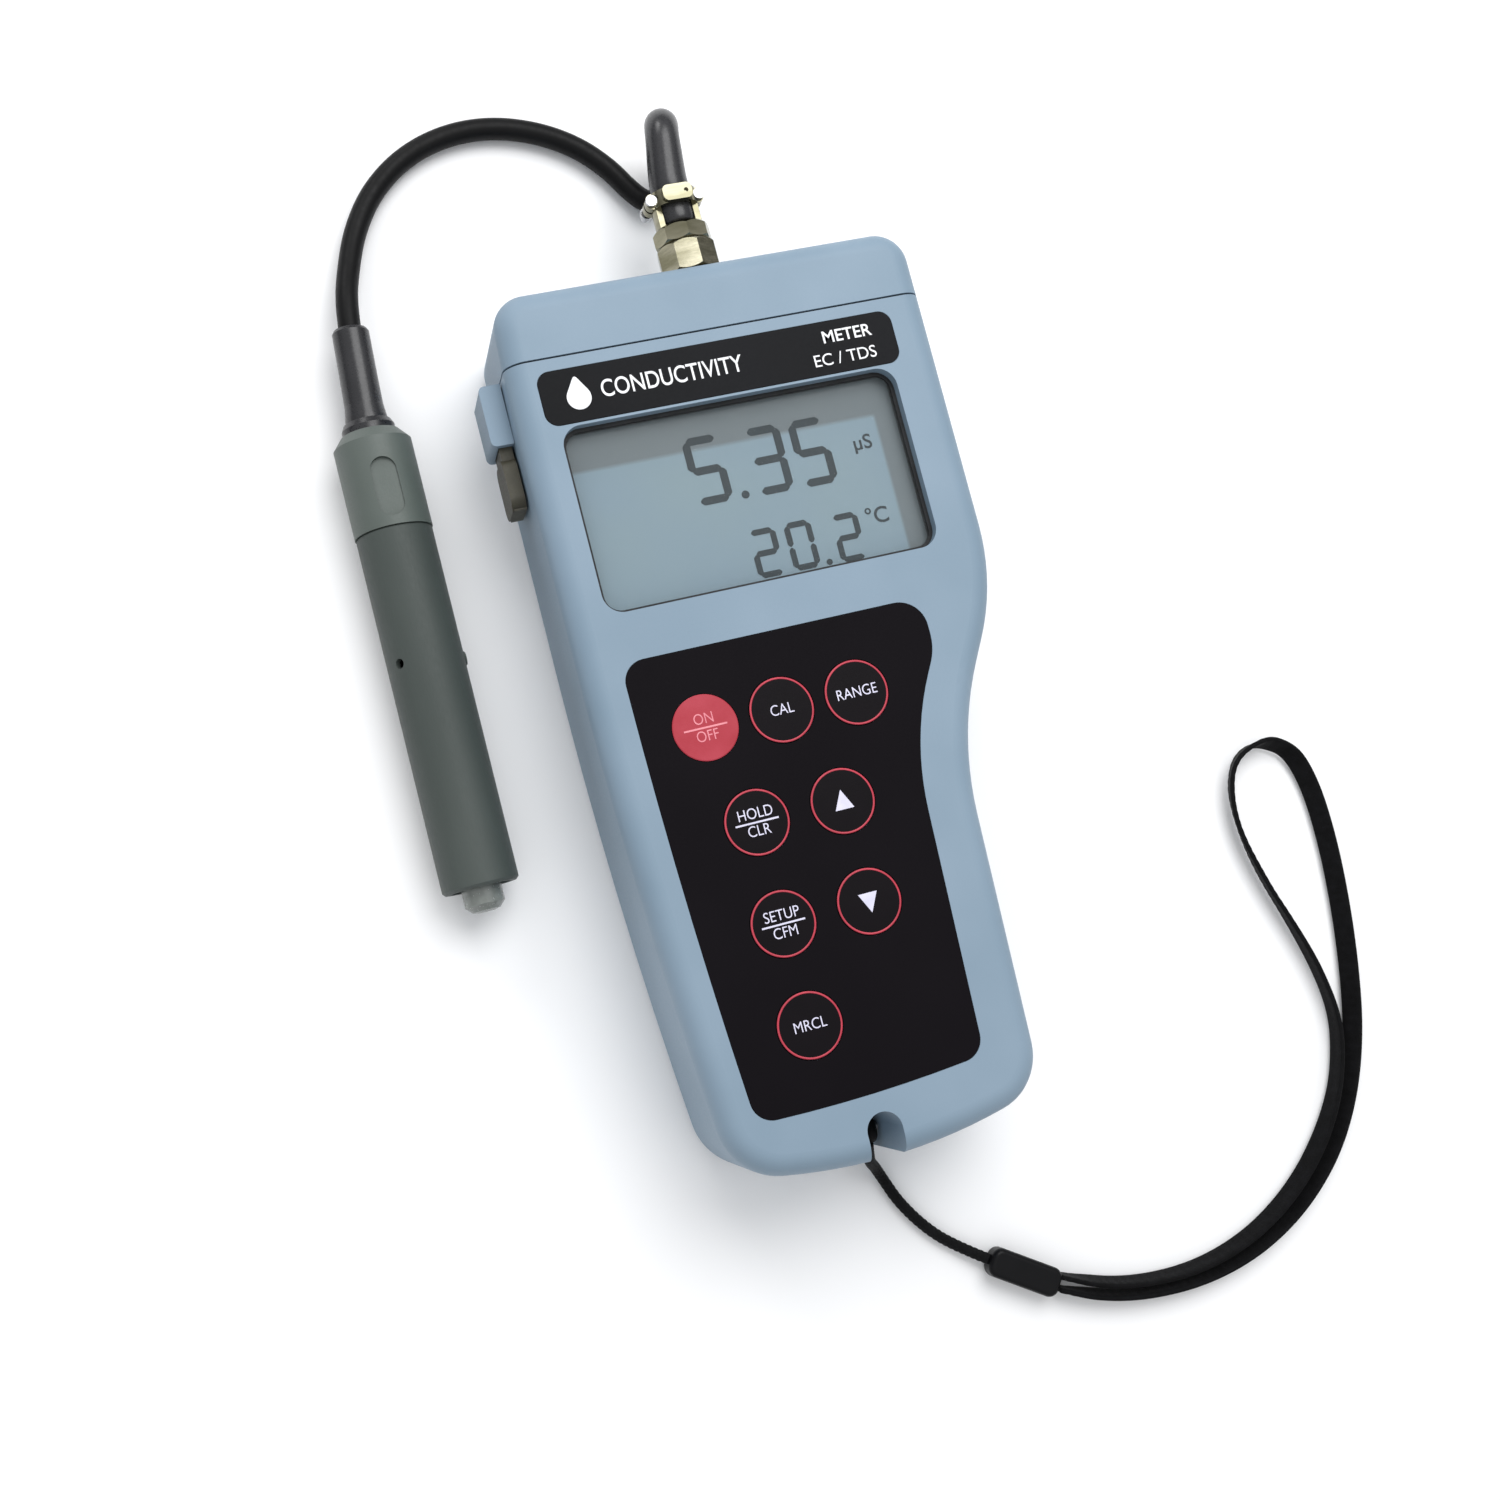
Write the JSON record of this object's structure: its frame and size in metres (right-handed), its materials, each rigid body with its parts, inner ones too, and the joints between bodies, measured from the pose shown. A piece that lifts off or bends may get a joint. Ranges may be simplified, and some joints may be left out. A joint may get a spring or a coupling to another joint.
{
  "type": "conductivity meter",
  "caption": "Hand-held water conductivity meter with display, keypad, screw-on plug, cabled cell probe and wrist strap.",
  "frame": {"origin": "on the flat back of the housing, midway between its two ends and under the middle of the display head", "axes": "+Z out of the display, +Y towards the connector end, +X to the right of the display"},
  "size_m": [0.1998, 0.2866, 0.0362],
  "materials": {
    "housing_blue": "satin moulded ABS",
    "seal_rubber": "matt",
    "label_black": "satin polyester film",
    "key_black": "satin film cap",
    "key_red": "satin",
    "lens_clear": "clear",
    "lcd_glass": "reflective LCD",
    "black_plastic": "moulded",
    "contact_rubber": "matt",
    "board_green": "solder mask",
    "screw_steel": "zinc plated",
    "cell_jacket": "printed jacket",
    "plug_nickel": "nickel plated",
    "boot_rubber": "matt",
    "cable_jacket": "satin PVC",
    "probe_grey": "moulded",
    "stem_grey": "moulded",
    "electrode_graphite": "pressed graphite",
    "tip_clear": "cast epoxy",
    "clip_olive": "moulded",
    "strap_fabric": "woven nylon"
  },
  "bodies": {
    "meter": {"battery_cells": "cell_jacket", "battery_contacts": "screw_steel", "battery_tray": "black_plastic", "board_chips": "black_plastic", "board_screws": "screw_steel", "cap_gasket": "seal_rubber", "contact_strips": "contact_rubber", "front_housing": "housing_blue", "housing_gasket": "seal_rubber", "housing_screws": "screw_steel", "keypad_overlay": "label_black", "lcd_frame": "black_plastic", "lcd_panel": "lcd_glass", "main_board": "board_green", "nameplate": "label_black", "panel_socket": "plug_nickel", "rear_housing": "housing_blue", "side_bracket": "housing_blue", "socket_insert": "black_plastic", "socket_nut": "plug_nickel", "strap_cord": "strap_fabric", "strap_hitch": "strap_fabric", "strap_pin": "screw_steel", "strap_slider": "black_plastic", "strap_webbing": "strap_fabric", "tact_switches": "black_plastic", "top_cap": "housing_blue", "window_gasket": "seal_rubber", "window_lens": "lens_clear"},
    "key_cal": {"key_cal": "key_black"},
    "key_down": {"key_down": "key_black"},
    "key_hold": {"key_hold": "key_black"},
    "key_on_off": {"key_on_off": "key_red"},
    "key_range": {"key_range": "key_black"},
    "key_recall": {"key_recall": "key_black"},
    "key_setup": {"key_setup": "key_black"},
    "key_up": {"key_up": "key_black"},
    "battery_cover": {"battery_door": "housing_blue", "door_gasket": "seal_rubber", "door_screws": "screw_steel"},
    "probe_lead": {"plug_body": "plug_nickel", "plug_insert": "black_plastic", "plug_clamp": "plug_nickel", "clamp_screws": "screw_steel", "plug_boot": "boot_rubber", "probe_cable": "cable_jacket", "probe_boot": "boot_rubber", "probe_head": "probe_grey", "probe_oring": "seal_rubber", "cell_stem": "stem_grey", "cell_electrodes": "electrode_graphite", "temperature_pin": "screw_steel", "sensor_tip": "tip_clear"},
    "coupling_nut": {"plug_coupling_nut": "plug_nickel"},
    "guard_sleeve": {"probe_sleeve": "probe_grey"},
    "side_clip": {"probe_clip": "clip_olive"}
  },
  "joints": [
    {"name": "press_cal", "type": "slide", "parent": "meter", "child": "key_cal", "axis": [0, 0, -1], "range_m": [0, 0.0006], "stiffness_N_per_m": 800},
    {"name": "press_down", "type": "slide", "parent": "meter", "child": "key_down", "axis": [0, 0, -1], "range_m": [0, 0.0006], "stiffness_N_per_m": 800},
    {"name": "press_hold", "type": "slide", "parent": "meter", "child": "key_hold", "axis": [0, 0, -1], "range_m": [0, 0.0006], "stiffness_N_per_m": 800},
    {"name": "press_on_off", "type": "slide", "parent": "meter", "child": "key_on_off", "axis": [0, 0, -1], "range_m": [0, 0.0006], "stiffness_N_per_m": 800},
    {"name": "press_range", "type": "slide", "parent": "meter", "child": "key_range", "axis": [0, 0, -1], "range_m": [0, 0.0006], "stiffness_N_per_m": 800},
    {"name": "press_recall", "type": "slide", "parent": "meter", "child": "key_recall", "axis": [0, 0, -1], "range_m": [0, 0.0006], "stiffness_N_per_m": 800},
    {"name": "press_setup", "type": "slide", "parent": "meter", "child": "key_setup", "axis": [0, 0, -1], "range_m": [0, 0.0006], "stiffness_N_per_m": 800},
    {"name": "press_up", "type": "slide", "parent": "meter", "child": "key_up", "axis": [0, 0, -1], "range_m": [0, 0.0006], "stiffness_N_per_m": 800},
    {"name": "battery_cover_off", "type": "slide", "parent": "meter", "child": "battery_cover", "axis": [0, 0, -1], "range_m": [0, 0.02]},
    {"name": "plug_pull", "type": "slide", "parent": "meter", "child": "probe_lead", "axis": [0, 1, 0], "range_m": [0, 0.012]},
    {"name": "coupling_turn", "type": "hinge", "parent": "probe_lead", "child": "coupling_nut", "pos_m": [0.0024, 0.098, 0.02], "axis": [0, 1, 0], "continuous": true},
    {"name": "sleeve_off", "type": "slide", "parent": "probe_lead", "child": "guard_sleeve", "axis": [0, -1, 0], "range_m": [0, 0.08]},
    {"name": "clip_slide", "type": "slide", "parent": "meter", "child": "side_clip", "axis": [0, -1, 0], "range_m": [0, 0.01]}
  ]
}
